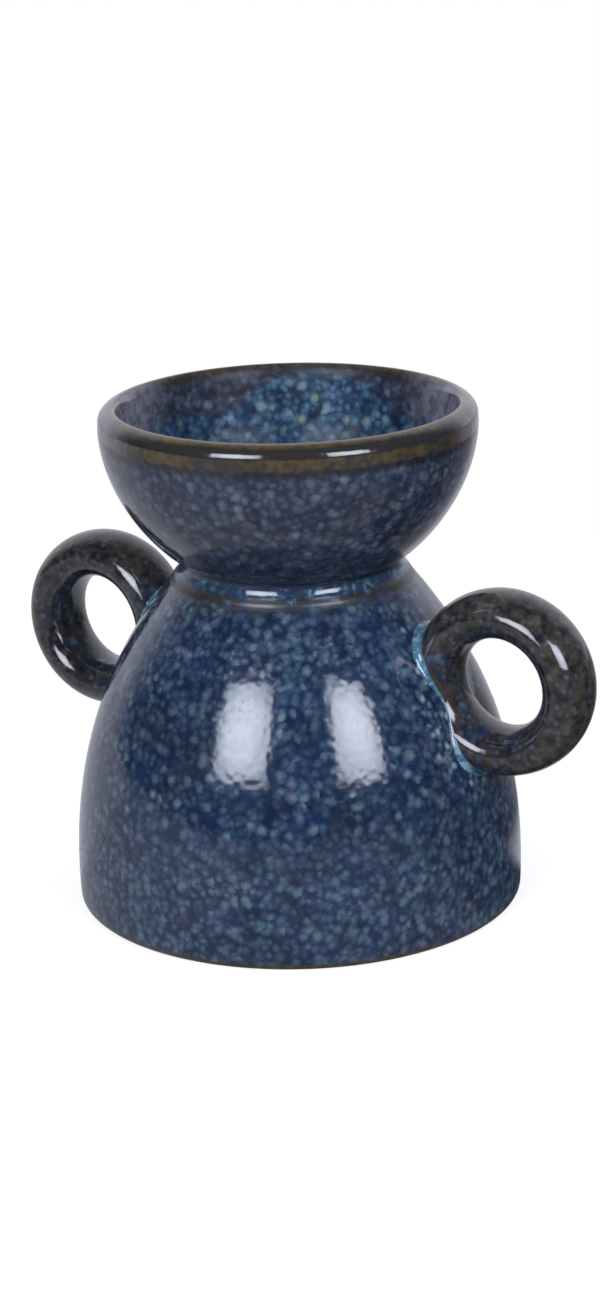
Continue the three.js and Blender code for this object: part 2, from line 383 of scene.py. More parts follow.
def drawn_to_arch(place):
    """Slides a vertex along the wall so that the block of faces behind the doorway takes its arch."""
    radius = math.hypot(place.x, place.y)
    floor = place.z < FLOOR_TOP + WELD and radius < COVE_EDGE - WELD
    if place.y <= 0 or floor or not FLOOR_TOP - WELD < place.z < DOOR_HEAD + DOOR_FADE:
        return place
    turn = math.atan2(place.x, place.y)
    beside = (abs(turn) - DOOR_SPREAD) * radius
    if beside > DOOR_FADE:
        return place
    if beside < WELD:
        target = turn / DOOR_SPREAD * DOOR_HALF
    else:
        shift = (DOOR_HALF - radius * math.sin(DOOR_SPREAD)) * (1 - smooth_step(0, DOOR_FADE, beside))
        target = place.x + math.copysign(shift, place.x)
    above = smooth_step(DOOR_HEAD, DOOR_HEAD + DOOR_FADE, place.z)
    across = (target + above * (place.x - target)) / DOOR_HALF
    up = (place.z - DOOR_SPRING) / DOOR_HALF
    beyond = max(abs(across), up, 1) - 1
    hold = 1 - smooth_step(0, DOOR_FADE / DOOR_HALF, beyond)
    near_across = min(max(across, -1), 1)
    near_up = min(max(up, 0), 1)
    across += hold * near_across * (math.sqrt(1 - near_up**2 / 2) - 1)
    up += hold * near_up * (math.sqrt(1 - near_across**2 / 2) - 1)
    x = across * DOOR_HALF
    z = up * DOOR_HALF + DOOR_SPRING
    wall = wall_radius(DOME_CURVE, z) if on_outer_wall(place) else chamber_radius(z)
    return Vector((x, math.sqrt(wall**2 - x**2), z))


def select_only(piece, kind, chosen):
    """Selects the faces or edges of a piece that a test picks, ready for edit mode."""
    enter("EDIT")
    bpy.ops.mesh.select_mode(type=kind)
    bpy.ops.mesh.select_all(action="DESELECT")
    enter("OBJECT")
    parts = piece.data.polygons if kind == "FACE" else piece.data.edges
    for part in parts:
        part.select = chosen(part)
    enter("EDIT")


def flush_with_floor(mesh, edge):
    ends = [mesh.vertices[i].co for i in edge.vertices]
    return all(abs(e.z - FLOOR_TOP) < WELD and math.hypot(e.x, e.y) < COVE_EDGE + WELD for e in ends)


def make_dome():
    dome = turned("dome_shell", dome_outline())
    mesh = dome.data
    taken_out = {face.index for face in mesh.polygons if in_doorway(face.center)}
    for vertex in mesh.vertices:
        vertex.co = drawn_to_arch(vertex.co)
    select_only(dome, "FACE", lambda face: face.index in taken_out)
    bpy.ops.mesh.delete(type="FACE")
    bpy.ops.mesh.select_mode(type="EDGE")
    bpy.ops.mesh.select_non_manifold(extend=False)
    bpy.ops.mesh.bridge_edge_loops()
    bpy.ops.mesh.region_to_loop()
    enter("OBJECT")
    rims = {edge.index for edge in mesh.edges if edge.select and not flush_with_floor(mesh, edge)}
    select_only(dome, "EDGE", lambda edge: edge.index in rims)
    bpy.ops.mesh.bevel(offset=DOOR_EDGE, segments=DOOR_EDGE_STEPS, affect="EDGES")
    enter("OBJECT")
    paint(dome, "thin_glaze", lambda vertex: float(vertex.select))
    paint(dome, "seam", lambda vertex: off_ring(vertex.co) / MM)
    close_up(dome)
    return dome


# Bowl

def bowl_wall(height):
    """How thick the bowl's wall is at a height: it swells toward the lip."""
    swell = smooth_step(BOWL_SWELL_LOW, BOWL_SWELL_HIGH, height)
    return BOWL_WALL + (BOWL_LIP_WALL - BOWL_WALL) * swell


def eased_lip(turn):
    """A point of the lip's inner side, which rolls over more slowly than the outer, by its angle."""
    angle = math.radians(turn)
    height = TOTAL_HEIGHT - BOWL_LIP_EASE * (1 - math.cos(angle))
    outside = wall_radius(BOWL_CURVE, min(height, LIP_HEIGHT))
    roll = (bowl_wall(height) - BOWL_LIP_ROUND) * math.sin(angle)
    return point(outside - BOWL_LIP_ROUND - roll, height)


def bowl_outline():
    whole_wall = [(share, wall_at_share(BOWL_CURVE, share)[0]) for share in shares(WALL_STEPS)]
    lip_middle = point(BOWL_RADIUS - BOWL_LIP_ROUND, TOTAL_HEIGHT - BOWL_LIP_ROUND)
    lip = arc(lip_middle, BOWL_LIP_ROUND, 0, 90, LIP_STEPS)
    wall = [place for _, place in whole_wall if place.y < lip_middle.y - LIP_CLEAR]
    ease = [eased_lip(turn) for turn in spaced(0, 90, LIP_STEPS)]
    inside = [wall_at_share(BOWL_CURVE, share, bowl_wall(place.y))[0] for share, place in whole_wall]
    inside = [place for place in reversed(inside) if BOWL_FLOOR_TOP + BOWL_COVE < place.y < ease[-1].y]
    before, last = inside[-2:]
    reach = (last.y - BOWL_FLOOR_TOP) / (before.y - last.y)
    corner = last + reach * (last - before)
    floor_edge = point(corner.x - (corner - last).length, BOWL_FLOOR_TOP)
    return [
        point(0, NECK_HEIGHT),
        point(NECK_RADIUS / 2, NECK_HEIGHT),
        *wall,
        *lip,
        *ease,
        *inside,
        *sweep(last, corner, floor_edge, COVE_STEPS)[1:],
        point(floor_edge.x / 2, BOWL_FLOOR_TOP),
        point(0, BOWL_FLOOR_TOP),
    ]


def make_bowl():
    bowl = turned("melting_bowl", bowl_outline())

    def inside(vertex):
        outside = wall_radius(BOWL_CURVE, min(vertex.co.z, LIP_HEIGHT))
        within = outside - math.hypot(vertex.co.x, vertex.co.y)
        above_floor = vertex.co.z > NECK_HEIGHT + BOWL_FLOOR / 2
        return above_floor * smooth_step(BOWL_LIP_ROUND, BOWL_WALL, within)

    paint(bowl, "inside", inside)
    return bowl


# Slip collar

def make_collar():
    toe = near_crease(DOME_CURVE, COLLAR_DROP + COLLAR_FADE, 0)
    shoulder = near_crease(DOME_CURVE, COLLAR_DROP + COLLAR_FADE / 2, 0)
    ridge = near_crease(DOME_CURVE, COLLAR_DROP, COLLAR_RIDGE)
    crown = near_crease(DOME_CURVE, COLLAR_DROP - COLLAR_FADE / 2, COLLAR_RIDGE)
    hollow = near_crease(DOME_CURVE, COLLAR_CLIMB, COLLAR_RIDGE / 2)
    top = near_crease(BOWL_CURVE, COLLAR_CLIMB, 0)
    halfway = ridge.lerp(shoulder, 0.5)
    outline = [
        near_crease(DOME_CURVE, COLLAR_DROP + COLLAR_FADE, -COLLAR_BITE),
        *sweep(toe, shoulder, halfway, COLLAR_TOE_STEPS),
        *sweep(halfway, ridge, crown, COLLAR_TOE_STEPS)[1:],
        *sweep(crown, hollow, top, COLLAR_STEPS)[1:],
        near_crease(BOWL_CURVE, COLLAR_CLIMB, -COLLAR_BITE),
        point(NECK_RADIUS - COLLAR_BITE, NECK_HEIGHT),
    ]
    return turned("neck_collar", [*outline, outline[0]])


# Ring handles

RING_REACH = wall_radius(DOME_CURVE, RING_HEIGHT) + RING_STANDOFF
SWEEP_ANGLE = math.radians(RING_SWEEP)
RING_OUT = Vector((math.cos(SWEEP_ANGLE), math.sin(SWEEP_ANGLE), 0))
RING_AXIS = Vector((-math.sin(SWEEP_ANGLE), math.cos(SWEEP_ANGLE), 0))
RING_UP = Vector((0, 0, 1))
RING_CENTRE = RING_REACH * RING_OUT + RING_HEIGHT * RING_UP


def dome_core(inset):
    """Everything inside the dome's outside, set in a little, to cut what is bedded in its wall."""
    wall = [wall_at_share(DOME_CURVE, share, inset)[0] for share in shares(WALL_STEPS)]
    return turned("dome_core", [point(0, wall[0].y), *wall, point(0, wall[-1].y)])


def outer_share(place):
    """Where a point is across the ring's section: 1 on the outer side, -1 round the finger hole."""
    arm = place - RING_CENTRE
    return (math.hypot(arm.dot(RING_OUT), arm.z) - RING_RADIUS) / (RING_THICKNESS / 2)


def off_ring(place):
    """Roughly how far a point is off the skin of the nearer ring."""
    near = Vector((abs(place.x), place.y, place.z))
    share = math.hypot(outer_share(near), (near - RING_CENTRE).dot(RING_AXIS) / (RING_WIDTH / 2))
    return (share - 1) * RING_THICKNESS / 2


def make_handle():
    bpy.ops.mesh.primitive_torus_add(
        major_segments=RING_SEGMENTS,
        minor_segments=RING_SECTION_SIDES,
        major_radius=RING_RADIUS,
        minor_radius=RING_THICKNESS / 2,
    )
    handle = bpy.context.object
    handle.name = "ring_handle_right"
    handle.scale.z = RING_WIDTH / RING_THICKNESS
    handle.rotation_euler = (math.radians(90), 0, SWEEP_ANGLE)
    handle.location = RING_CENTRE
    apply_place(handle)
    core = dome_core(RING_BEDDING)
    cut = handle.modifiers.new("bedding", "BOOLEAN")
    cut.operation = "DIFFERENCE"
    cut.solver = "EXACT"
    cut.object = core
    take_up(handle)
    bpy.ops.object.modifier_apply(modifier=cut.name)
    bpy.data.objects.remove(core)
    close_up(handle)
    paint(handle, "root", lambda vertex: above_dome(vertex.co)[0] / MM)
    paint(handle, "outer", lambda vertex: outer_share(vertex.co))
    return handle


# Slip bead round a handle's root, as hollow as a finger leaves it

ROOT_TURN = math.radians(207)
ROOT_SPREAD = math.radians(90)


def ring_surface(turn, section):
    """A point on the ring and its outward normal, by the angles round the ring and round its section."""
    outward = math.cos(turn) * RING_OUT + math.sin(turn) * RING_UP
    thick = RING_THICKNESS / 2
    wide = RING_WIDTH / 2
    middle = RING_CENTRE + RING_RADIUS * outward
    place = middle + thick * math.cos(section) * outward + wide * math.sin(section) * RING_AXIS
    normal = math.cos(section) / thick * outward + math.sin(section) / wide * RING_AXIS
    return place, normal.normalized()


def above_dome(place):
    """How far a point is off the outside of the dome, and the dome's normal below it."""
    around = Vector((place.x, place.y, 0))
    wall, normal = wall_at_height(DOME_CURVE, place.z)
    outward = around.normalized() * normal.x + RING_UP * normal.y
    return (around.length - wall.x) * normal.x, outward


def bead_section(turn):
    """A section of the bead: the arc of a ball that rolls between ring and dome, and a point under it."""
    waves = math.sin(BEAD_WAVES * turn + BEAD_PHASE) + math.sin(BEAD_RIPPLES * turn) / 2
    ball = BEAD_RADIUS * (1 + BEAD_SWELL * waves)

    def ball_at(reach):
        around = ROOT_TURN + reach * math.cos(turn) * ROOT_SPREAD
        place, normal = ring_surface(around, reach * math.sin(turn) * math.pi)
        return place + ball * normal, normal

    reach = halved(0, 1, lambda share: above_dome(ball_at(share)[0])[0] < ball)
    centre, ring_normal = ball_at(reach)
    _, dome_normal = above_dome(centre)
    span = ring_normal.angle(dome_normal)
    arms = [ring_normal.slerp(dome_normal, share) for share in shares(BEAD_SECTION)]
    places = [centre - ball * arm for arm in arms]
    places[0] -= BEAD_LAP * ring_normal
    places[-1] -= BEAD_LAP * dome_normal
    deep = ball / math.cos(span / 2) + BEAD_DEPTH
    return [*places, centre - deep * ring_normal.slerp(dome_normal, 0.5)]


def make_bead():
    sections = [bead_section(math.tau * i / BEAD_STEPS) for i in range(BEAD_STEPS)]
    corners = BEAD_SECTION + 2
    faces = []
    for i in range(BEAD_STEPS):
        for j in range(corners):
            here = i * corners
            there = (i + 1) % BEAD_STEPS * corners
            after = (j + 1) % corners
            faces.append((here + j, here + after, there + after, there + j))
    mesh = bpy.data.meshes.new("slip_bead_right")
    mesh.from_pydata([place for section in sections for place in section], [], faces)
    bead = bpy.data.objects.new("slip_bead_right", mesh)
    bpy.context.scene.collection.objects.link(bead)
    paint(bead, "across", lambda vertex: vertex.index % corners / BEAD_SECTION)
    close_up(bead)
    return bead


# Tealight, which stands on the floor of the dome

def on_floor(outline):
    return [point(place.x, place.y + FLOOR_TOP) for place in outline]


def make_cup():
    inside = CUP_RADIUS - CUP_SKIN
    wall_top = CUP_HEIGHT - 2 * CUP_BEAD
    corner = point(CUP_RADIUS - CUP_CORNER, CUP_CORNER)
    bead = point(CUP_RADIUS, CUP_HEIGHT - CUP_BEAD)
    outline = [
        point(0, 0),
        point(CUP_RADIUS * CUP_BOTTOM_SHARE, 0),
        *arc(corner, CUP_CORNER, -90, 0, CUP_CORNER_STEPS),
        *[point(CUP_RADIUS, height) for height in spaced(CUP_CORNER, wall_top, CUP_WALL_STEPS)],
        *arc(bead, CUP_BEAD, CUP_BEAD_START, 180, CUP_BEAD_STEPS),
        point(inside, wall_top - CUP_BEAD),
        point(inside, CUP_SKIN),
        point(0, CUP_SKIN),
    ]
    cup = turned("foil_cup", on_floor(outline), CUP_SIDES)
    for vertex in cup.data.vertices:
        radius = math.hypot(vertex.co.x, vertex.co.y)
        share = (vertex.co.z - FLOOR_TOP - CUP_CORNER) / (wall_top - CUP_CORNER)
        if radius > inside + WELD and 0 < share < 1:
            turn = math.atan2(vertex.co.y, vertex.co.x)
            fade = math.sqrt(math.sin(math.pi * share))
            pressed = CUP_FLUTE_DEPTH * fade * (1 - math.cos(CUP_FLUTES * turn)) / 2
            vertex.co.x *= (radius - pressed) / radius
            vertex.co.y *= (radius - pressed) / radius
    return cup


def make_wax():
    edge = CUP_RADIUS - CUP_SKIN - WAX_GAP
    bore = WICK_RADIUS + WAX_GAP
    pocket = SUSTAINER_RADIUS + WAX_GAP
    neck = SUSTAINER_NECK + WAX_GAP
    skirt = 2 * CUP_SKIN + 2 * WAX_GAP
    roof = CUP_SKIN + SUSTAINER_HEIGHT + 2 * WAX_GAP
    pool = WAX_TOP - WAX_RISE
    slope = point(edge - WAX_SLOPE, pool)
    creep = sweep(point(edge, WAX_TOP), point(edge - WAX_CREEP, pool), slope, WAX_STEPS)
    mound = sweep(point(WICK_MOUND, pool), point(WICK_MOUND_FOOT, pool), point(bore, WAX_TOP), WAX_STEPS)
    outline = [
        point(pocket, CUP_SKIN),
        point(edge, CUP_SKIN),
        *creep,
        point(edge / 2, pool),
        *mound,
        point(bore, roof),
        point(neck, roof),
        point(neck, skirt),
        point(pocket, skirt),
        point(pocket, CUP_SKIN),
    ]
    return turned("candle", on_floor(outline), CUP_SIDES // 2)


def make_wick():
    base = FLOOR_TOP + CUP_SKIN
    bend = FLOOR_TOP + WAX_TOP + WICK_STAND / 3
    tip = FLOOR_TOP + WAX_TOP + WICK_STAND

    def lean(height):
        share = max(height - bend, 0) / (tip - bend)
        return WICK_LEAN * smooth_step(0, WICK_CURL, share) / smooth_step(0, WICK_CURL, 1)

    bpy.ops.mesh.primitive_circle_add(
        vertices=WICK_STRANDS * WICK_SIDES, radius=WICK_RADIUS, fill_type="NGON", location=(0, 0, base)
    )
    strand = bpy.context.object
    strand.name = "braided_wick"
    apply_place(strand)
    for vertex in strand.data.vertices:
        turn = math.atan2(vertex.co.y, vertex.co.x)
        lobe = 1 - WICK_LOBE * (1 - abs(math.cos(turn * WICK_STRANDS / 2)))
        vertex.co.x *= lobe
        vertex.co.y *= lobe
    enter("EDIT")
    bpy.ops.mesh.select_all(action="SELECT")
    last = Vector((0, 0, base))
    for height in spaced(base, tip, WICK_STEPS):
        place = Vector((0, lean(height), height))
        bpy.ops.mesh.extrude_region_move(TRANSFORM_OT_translate={"value": place - last})
        bpy.ops.transform.rotate(value=math.radians(WICK_TWIST), orient_axis="Z", center_override=place)
        last = place
    enter("OBJECT")
    close_up(strand)
    return strand


# Finishes

# Sockets of the node that mixes colours, which share their names with others
MIX_SHARE = 0
MIX_FROM = 6
MIX_TO = 7
MIXED = 2


class Channel:
    """One value, vector or colour among a finish's nodes. Arithmetic on a value adds Math nodes."""

    def __init__(self, tree, socket):
        self.tree = tree
        self.socket = socket

    def node(self, kind, settings, sockets, output=0):
        """Adds a node, makes its settings, sets or links its sockets, and gives one of its outputs."""
        added = self.tree.nodes.new(kind)
        for name, setting in settings.items():
            setattr(added, name, setting)
        for name, value in sockets.items():
            if isinstance(value, Channel):
                self.tree.links.new(value.socket, added.inputs[name])
            else:
                added.inputs[name].default_value = value
        return Channel(self.tree, added.outputs[output])

    def other(self, output):
        """Another output of the node that gave this one."""
        return Channel(self.tree, self.socket.node.outputs[output])

    def math(self, operation, first, second):
        return self.node("ShaderNodeMath", {"operation": operation}, {0: first, 1: second})

    def __add__(self, value):
        return self.math("ADD", self, value)

    def __radd__(self, value):
        return self.math("ADD", value, self)

    def __sub__(self, value):
        return self.math("SUBTRACT", self, value)

    def __rsub__(self, value):
        return self.math("SUBTRACT", value, self)

    def __mul__(self, value):
        return self.math("MULTIPLY", self, value)

    def __rmul__(self, value):
        return self.math("MULTIPLY", value, self)

    def largest(self, value):
        return self.math("MAXIMUM", self, value)

    def between(self, first, second):
        """Goes from one value to another as this one goes from 0 to 1."""
        return self * (second - first) + first

    def step(self, start, end, least=0.0, most=1.0):
        """Goes smoothly from a least to a most as the value goes from one level to another."""
        sockets = {"Value": self, "From Min": start, "From Max": end, "To Min": least, "To Max": most}
        return self.node("ShaderNodeMapRange", {"interpolation_type": "SMOOTHSTEP"}, sockets)

    def tint(self, first, second):
        """Goes from one colour to another as the value goes from 0 to 1."""
        sockets = {MIX_SHARE: self, MIX_FROM: first, MIX_TO: second}
        return self.node("ShaderNodeMix", {"data_type": "RGBA", "clamp_factor": True}, sockets, MIXED)

    def vector(self, operation, sockets, output=0):
        return self.node("ShaderNodeVectorMath", {"operation": operation}, {0: self, **sockets}, output)

    def scaled(self, factor):
        return self.vector("SCALE", {"Scale": factor})

    def moved(self, way):
        return self.vector("ADD", {1: way})

    def toward(self, way):
        return self.vector("DOT_PRODUCT", {1: way}, "Value")

    def span(self):
        return self.vector("LENGTH", {}, "Value")

    def part(self, axis):
        return self.node("ShaderNodeSeparateXYZ", {}, {0: self}, axis)

    def noise(self, size, fineness=3.0):
        """Cloudy noise with features of a size in millimetres."""
        return self.node("ShaderNodeTexNoise", {}, {"Vector": self, "Scale": 1 / size, "Detail": fineness})

    def cells(self, size):
        return self.node("ShaderNodeTexVoronoi", {}, {"Vector": self, "Scale": 1 / size})

    def attribute(self, name):
        return self.node("ShaderNodeAttribute", {"attribute_name": name}, {}, "Fac")

    def bump(self, height, distance):
        return self.node("ShaderNodeBump", {}, {"Height": height, "Distance": distance})


def new_finish(name):
    """A material, its shader, and the place on the piece in millimetres."""
    finish = bpy.data.materials.new(name)
    finish.use_nodes = True
    tree = finish.node_tree
    shader = tree.nodes["Principled BSDF"]
    place = Channel(tree, tree.nodes.new("ShaderNodeTexCoord").outputs["Object"])
    return finish, shader, place.scaled(1 / MM)


def feed(shader, name, channel):
    channel.tree.links.new(channel.socket, shader.inputs[name])


def colour(red, green, blue):
    return (red, green, blue, 1.0)


# Speckled blue of the dome
NAVY = colour(0.0072, 0.0165, 0.042)
BLUE = colour(0.0095, 0.024, 0.062)
PLUM = colour(0.017, 0.019, 0.036)
FLECK_BLUE = colour(0.064, 0.096, 0.158)
FLECK_TEAL = colour(0.055, 0.103, 0.147)
SPECK_PALE = colour(0.128, 0.16, 0.208)
SPECK_TEAL = colour(0.1, 0.172, 0.198)

# Slate of the bowl's outside, and the crystals that pool inside it
SLATE = colour(0.016, 0.021, 0.038)
SLATE_BLUE = colour(0.013, 0.021, 0.046)
SLATE_PLUM = colour(0.03, 0.03, 0.042)
FLECK_SLATE = colour(0.092, 0.109, 0.152)
SPECK_SILVER = colour(0.145, 0.168, 0.21)
CRYSTAL_BLUE = colour(0.085, 0.18, 0.29)
CRYSTAL_TEAL = colour(0.08, 0.205, 0.27)
MOSS = colour(0.2, 0.28, 0.22)
FROST = colour(0.19, 0.29, 0.35)
# Lavender of a painted sheen, a painted reflection at the bowl's two ends
SHEEN_MAUVE = colour(0.2, 0.195, 0.235)

# Browns where the glaze breaks thin over edges
SMOKE = colour(0.027, 0.025, 0.025)
UMBER = colour(0.014, 0.012, 0.011)
OLIVE = colour(0.082, 0.061, 0.023)
RUST = colour(0.07, 0.04, 0.02)

# Handles
GRAPHITE = colour(0.017, 0.016, 0.017)
DUSK = colour(0.009, 0.011, 0.021)
BRONZE = colour(0.073, 0.061, 0.042)
HEATHER = colour(0.105, 0.105, 0.125)

# Deep navy of painted shade, under the bowl and in the crease of the neck, then glaze that pools in creases
SHADE_NAVY = colour(0.007, 0.013, 0.03)
POOL_SLATE = colour(0.024, 0.038, 0.07)
POOL_BLUE = colour(0.028, 0.092, 0.2)
POOL_TEAL = colour(0.065, 0.16, 0.21)
POOL_PALE = colour(0.24, 0.38, 0.46)

# Bare clay of the foot
CLAY = colour(0.42, 0.33, 0.24)
CLAY_DARK = colour(0.34, 0.26, 0.18)

# Speckle: its clouds, stains and hues, the stirring of its dots, and how dense these are
CLOUDS = dict(size=6.0, start=0.4, end=0.62)
STAINS = dict(size=11.0, start=0.46, end=0.66, most=0.5, shift=(31, 7, 53))
GATHERING = dict(size=7.0, start=0.3, end=0.6, shift=(11, 43, 5))
FLECK_HUES = dict(size=5.0, fineness=2.0, start=0.4, end=0.6, shift=(2, 17, 29))
SPECK_HUES = dict(size=3.0, fineness=1.0, start=0.42, end=0.58, shift=(19, 5, 61))
COARSE_STIR = dict(size=2.0, fineness=0.0, reach=0.7)
FINE_STIR = dict(size=0.9, fineness=1.0, reach=0.8)
BLOB_EDGE = 0.7
FLECKS = dict(shift=(3, 2.1, 3.9), rarity=-0.3)
LARGE_FLECKS = dict(shift=(17, 11.9, 22.1), rarity=-0.3)
LARGE_FLECK_SCALE = 1.2
SPECKS = dict(shift=(37, 25.9, 48.1), rarity=0.2)
SPECK_SCALE = 1.35
FLECK_SHARES = (0.6, 1.0)
SPECK_SHARES = (0.5, 1.0)
DOT_SIZE = 1.85
CRYSTAL_SIZE = 1.95

# Heights in millimetres over which the dome's flecks grow denser
CROWD_FOOT = dict(start=36, end=16, most=0.6)
CROWD_NECK = dict(start=48, end=66, most=0.4)
CROWD_LEAST = 0.78

# Brown of thin glaze
BROWN_MOTTLE = dict(size=1.8, reach=1.6)
BROWN_LEVELS = dict(start=0.1, end=0.9)
RUSTING = dict(size=9.0, fineness=2.0, start=0.5, end=0.72, shift=(3, 31, 13))

# Gloss and orange peel
GLAZE_INDEX = 1.6
GLOSS = dict(size=5.0, fineness=2.0)
GLOSS_ROUGHNESS = (0.07, 0.13)
PEEL = dict(size=1.6, fineness=0.0)
PEEL_SWELL = dict(size=4.96, fineness=0.0)
PEEL_SWELL_SHARE = 0.5
PEEL_HEIGHT = 0.032 * MM


def patches(place, start, end, least=0.0, most=1.0, shift=(0, 0, 0), **grain):
    """Cloudy patches: noise that fades in between two of its levels."""
    return place.moved(shift).noise(**grain).step(start, end, least, most)


def wander(place, reach, **grain):
    """A value that wanders to either side of 0, over the whole of a reach."""
    return place.noise(**grain).between(-reach / 2, reach / 2)


def stir(place, reach, **grain):
    """How far each place is pushed about, so that what is drawn there comes out uneven."""
    return place.noise(**grain).other("Color").scaled(reach)


def blobs(place, size, shift, rarity):
    """Round soft-edged blobs, each of its own strength, and the fewer the higher their rarity."""
    cells = place.moved(shift).cells(size)
    chance = cells.other("Color").part("X")
    return cells.step(BLOB_EDGE, 0.0) * chance.step(rarity, 1.0)


def speckle(place, grounds, flecks, specks, size, crowd=1.0):
    """Reactive glaze: a clouded, stained ground under flecks and paler specks, and how strong these are."""
    ground, cloud, stain = grounds
    glaze = patches(place, **CLOUDS).tint(ground, cloud)
    glaze = patches(place, **STAINS).tint(glaze, stain)
    gather = patches(place, **GATHERING)
    uneven = place.moved(stir(place, **COARSE_STIR)).moved(stir(place, **FINE_STIR))
    dense = blobs(uneven, size, **FLECKS).largest(blobs(uneven, size * LARGE_FLECK_SCALE, **LARGE_FLECKS))
    dense = dense * gather.between(*FLECK_SHARES) * crowd
    glaze = dense.tint(glaze, patches(place, **FLECK_HUES).tint(*flecks))
    light = blobs(uneven, size * SPECK_SCALE, **SPECKS) * gather.between(*SPECK_SHARES)
    return light.tint(glaze, patches(place, **SPECK_HUES).tint(*specks)), dense.largest(light)


def blue_speckle(place):
    height = place.part("Z")
    crowd = height.step(**CROWD_FOOT).largest(height.step(**CROWD_NECK)) + CROWD_LEAST
    flecks = (FLECK_BLUE, FLECK_TEAL)
    return speckle(place, (NAVY, BLUE, PLUM), flecks, (SPECK_PALE, SPECK_TEAL), DOT_SIZE, crowd)


def slate_speckle(place):
    grounds = (SLATE, SLATE_BLUE, SLATE_PLUM)
    return speckle(place, grounds, (FLECK_SLATE, FLECK_BLUE), (SPECK_SILVER, SPECK_PALE), DOT_SIZE)


def crystal_speckle(place):
    return speckle(place, (NAVY, BLUE, PLUM), (CRYSTAL_BLUE, CRYSTAL_TEAL), (FROST, MOSS), CRYSTAL_SIZE)


def thin_brown(place, share):
    """Brown of glaze that has run thin over an edge, olive where the share is high."""
    earth = patches(place, **RUSTING).tint(OLIVE, RUST)
    return (wander(place, **BROWN_MOTTLE) + share).step(**BROWN_LEVELS).tint(SMOKE, earth)


def peel(place):
    """Orange peel of a fired glaze."""
    waves = place.noise(**PEEL) + place.noise(**PEEL_SWELL) * PEEL_SWELL_SHARE
    return place.bump(waves, PEEL_HEIGHT)


def glossy(shader, place, glaze, rough):
    """Gives a shader a fired glaze's colour, its gloss with rougher places, and its orange peel."""
    feed(shader, "Base Color", glaze)
    shader.inputs["IOR"].default_value = GLAZE_INDEX
    feed(shader, "Roughness", place.noise(**GLOSS).between(*GLOSS_ROUGHNESS).largest(rough))
    feed(shader, "Normal", peel(place))


# Dome: brown at foot, neck and doorway, pale splashes off the seams, a dry foot; heights in millimetres
DOME_DRIFT = dict(size=4.0, fineness=2.0)
NECK_BROWN = dict(start=76.5, end=80.5, most=0.35)
NECK_BROWN_DRIFT = 7.0
FOOT_BROWN = dict(start=2.9, end=1.7)
FOOT_BROWN_DRIFT = 1.6
EDGE_BREAK = dict(start=0.25, end=0.55)
DOME_OLIVE = 0.5
SPLASH_STIR = dict(size=4.0, fineness=2.0, reach=2.0)
SPLASHES = dict(size=1.8, shift=(51, 35.7, 66.3), rarity=0.4)
SPLASH_REACH = dict(start=7, end=2)
DRY_FOOT = dict(start=0.35, end=0.1)
CLAY_GRAIN = dict(size=0.6, start=0.3, end=0.7)
CLAY_ROUGHNESS = 0.6
DOT_ROUGHNESS = 0.3


def dome_glaze():
    finish, shader, place = new_finish("dome_glaze")
    height = place.part("Z")
    drift = place.noise(**DOME_DRIFT)
    neck = (height + drift * NECK_BROWN_DRIFT).step(**NECK_BROWN)
    foot = (height + drift * FOOT_BROWN_DRIFT).step(**FOOT_BROWN)
    edge = place.attribute("thin_glaze") * drift.step(**EDGE_BREAK)
    blue, light = blue_speckle(place)
    splash = blobs(place.moved(stir(place, **SPLASH_STIR)), **SPLASHES)
    blue = (splash * place.attribute("seam").step(**SPLASH_REACH)).tint(blue, POOL_PALE)
    glaze = edge.largest(foot).largest(neck).tint(blue, thin_brown(place, DOME_OLIVE))
    dry = height.step(**DRY_FOOT)
    clay = patches(place, **CLAY_GRAIN).tint(CLAY, CLAY_DARK)
    rough = (light * DOT_ROUGHNESS).largest(dry * CLAY_ROUGHNESS)
    glossy(shader, place, dry.tint(glaze, clay), rough)
    return finish


# Bowl: its drift, its lip and the dark under it, and painted shade low on its outside; heights in
# millimetres
BOWL_DRIFT = dict(size=4.0, reach=1.0)
LIP_LINE = dict(start=111.0, end=111.8)
LIP_LINE_DRIFT = 2.2
LIP_INNER_DROP = 3.2
LIP_BAND = dict(start=114.5, end=113.7)
LIP_BAND_DRIFT = 0.8
# Crest of the lip: thin olive glaze, made lighter as a painted highlight of its lit line
LIP_CREST_OLIVE_AND_GLINT = dict(start=115.8, end=116.5, most=0.66)
LIP_CREST_DRIFT = 0.4
LIP_RUNS = dict(size=12.0, start=0.34, end=0.64, least=0.3, most=0.75, shift=(5, 23, 41))
LIP_INNER_DARK = 0.4
LIP_INNER_FLECKS = 0.4
UNDER_LIP = dict(start=109.0, end=110.6, most=0.75)
# Painted shade: the outside darkens toward the neck, on the bowl's underside
BOWL_SHADE = dict(start=97, end=84, most=0.42)
BOWL_DOT_ROUGHNESS = 0.25

# Inside of the bowl: smudges, and a painted lavender sheen at the ends, a painted reflection, by squares of
# millimetres
SMUDGES = dict(size=3.0, start=0.36, end=0.66, most=0.6)
END_WAY = (0.84, 0.54, 0.0)
END_REACH = dict(start=700, end=1240)
END_HEIGHTS = dict(start=100, end=108)
END_SHEEN_PATCHES = dict(size=2.6, start=0.32, end=0.62, least=0.3, most=0.9)
LIP_END_REACH = dict(start=1180, end=1680)
LIP_END_SHEEN_PATCHES = dict(size=5.0, fineness=2.0, start=0.3, end=0.7, least=0.3, most=0.6)

# Crystals, and the side of the bowl that they climb
POUR_WAY = (-0.38, 0.92, 0.0)
POUR_CLIMB = dict(start=30.0, end=38.5, most=7.0)
POOL_EDGE = dict(start=108.8, end=106.0)
POOL_EDGE_DRIFT = 5.0
SATIN_ROUGHNESS = 0.36
SATIN_INDEX = 1.28


